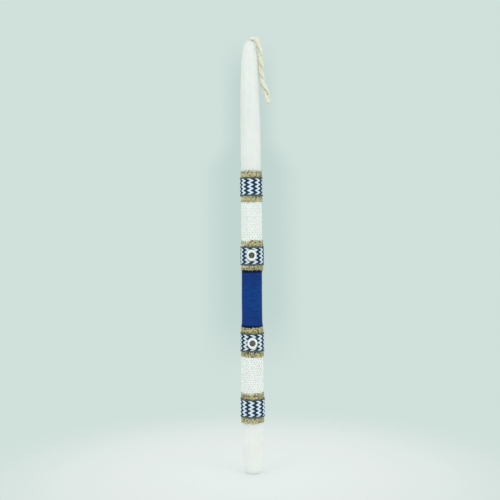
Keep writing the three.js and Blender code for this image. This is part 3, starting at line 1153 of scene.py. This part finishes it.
stage = {
    "back": (208, 224, 219), "floor": (228, 235, 233), "litFloor": (232, 238, 236),
    "fade": (0.105, 0.3), "shadow": (0.03, 0.12), "floorSize": 8,
    "sky": 0.965, "skyColour": (0.97, 1, 0.99, 1), "wall": 0.45,  # how far behind the candle
    # A soft shade on the wall behind the candle: the heights between which it narrows, the half width of
    # its core and rim below and above them, and where it fades
    "shade": (193, 213, 209), "narrows": (0.302, 0.363), "core": (0.0245, 0.0115), "rim": (0.079, 0.045),
    "shadeFoot": (0.01, 0.12), "shadeTop": (0.43, 0.51), "aslant": (0.08, 0.16),
    "lamps": {
        "left": {"place": (-1.0, -1.1, 0.75), "size": 0.7, "power": 2.5},
        "right": {"place": (1.0, -1.0, 0.7), "size": 0.7, "power": 2.75},
    },
}


def surface(share, first, second, output="Material Output"):  # mixes two shaders and shows them
    mix = nodeOf("MixShader", {0: share, 1: first, 2: second})[0]
    connect(mix, mix.id_data.nodes[output].inputs[0])


def glowing(tint):
    return nodeOf("Emission", {"Color": tint})[0]


def seenBy(tree):  # 1 for the rays that show the backdrop, 0 for those that light the candle
    rays = tree.nodes.new("ShaderNodeLightPath").outputs
    return highest(rays["Is Camera Ray"], rays["Is Glossy Ray"], rays["Is Transmission Ray"])


def floorMaterial():
    material, shader, spot, _ = newMaterial("pale_floor", Roughness=0.9, Specular_IOR_Level=0.1)
    away = nodeOf("VectorMath", {0: spot}, operation="LENGTH")["Value"]
    far = ramp(away, *stage["fade"])
    dress(shader, Base_Color=blendOf(far, stage["litFloor"], stage["back"]))
    glow = glowing(blendOf(far, stage["floor"], stage["back"]))
    surface(ramp(away, *stage["shadow"], 0.3), shader.outputs[0], glow)
    return material


addPlane = bpy.ops.mesh.primitive_plane_add
ground = added(addPlane, "studio_floor", size=stage["floorSize"], location=(0, 0, -0.02 * mm))
wear(ground, floorMaterial())


def wallMaterial():
    # Shows to the camera only, and only from the front, so it neither lights nor hides the candle.
    material, shader, spot, _ = newMaterial("studio_wall")
    tree = material.node_tree
    tree.nodes.remove(shader)
    right, _, high = axesOf(spot)
    geometry = tree.nodes.new("ShaderNodeNewGeometry").outputs
    core, rim = (ramp(high, *stage["narrows"], *stage[edge]) for edge in ("core", "rim"))
    share = times(
        ramp(sums("ABSOLUTE", axesOf(geometry["Incoming"])[0]), *stage["aslant"], 1, 0),
        ramp(sums("ABSOLUTE", right), core, rim, 1, 0),
        ramp(high, *stage["shadeFoot"]),
        ramp(high, *stage["shadeTop"], 1, 0),
    )
    clear = tree.nodes.new("ShaderNodeBsdfTransparent").outputs[0]
    shown = times(seenBy(tree), minus(1, geometry["Backfacing"]))
    surface(shown, clear, glowing(blendOf(share, stage["back"], stage["shade"])))
    return material


wall = added(addPlane, "studio_wall", size=stage["floorSize"], rotation=(pi / 2, 0, 0))
bpy.ops.object.transform_apply()
wall.location = (0, stage["wall"], 0)
wear(wall, wallMaterial())

world = bpy.data.worlds.new("studio")
bpy.context.scene.world = world
world.use_nodes = True
sky = world.node_tree.nodes["Background"]
dress(sky, Color=stage["skyColour"], Strength=stage["sky"])
backdrop = world.node_tree.nodes.new("ShaderNodeBackground")
dress(backdrop, Color=colour(*stage["back"]))
surface(seenBy(world.node_tree), sky.outputs[0], backdrop.outputs[0], "World Output")

for label, lamp in stage["lamps"].items():
    light = added(bpy.ops.object.light_add, f"softbox_{label}", type="AREA", location=lamp["place"])
    light.data.size = lamp["size"]
    light.data.energy = lamp["power"]
    light.rotation_euler = (Vector((0, 0, 0.2)) - light.location).to_track_quat("-Z", "Y").to_euler()

bpy.context.scene.view_settings.view_transform = "Standard"
bpy.data.objects.remove(fibreSection)
print("stage")

# The real candle isn't quite straight: its upper bands stand a little to the right

bow = {
    "rise": 0.3, "middle": 232, "reach": 52, "bands": {1: 0.2, 2: 0.3, 4: -0.2}, "lace": -0.3,
    "nose": -0.3, "noseFrom": (315, 350),
}


def bowed(offset):
    def place(x, y, z):
        away = (z / mm - bow["middle"]) / bow["reach"]
        lean = bow["nose"] * smoothStep(z / mm, *bow["noseFrom"])
        return x + (bow["rise"] * exp(-(away**4)) + lean + offset) * mm, y, z

    return place


onBand = {f"{kind}_{number}": number for number in bands for kind in ("jute_weave", "zigzag_trim")}
for label, eye in eyes.items():
    onBand.update({f"charm_{kind}_{label}": eye["band"] for kind in ("ring", "stone")})
for name in ("wax_taper", "lace_upper", "lace_lower", "satin_band", *onBand):
    offset = bow["lace"] if name == "lace_lower" else bow["bands"].get(onBand.get(name), 0)
    reshape(bpy.data.objects[name], bowed(offset))
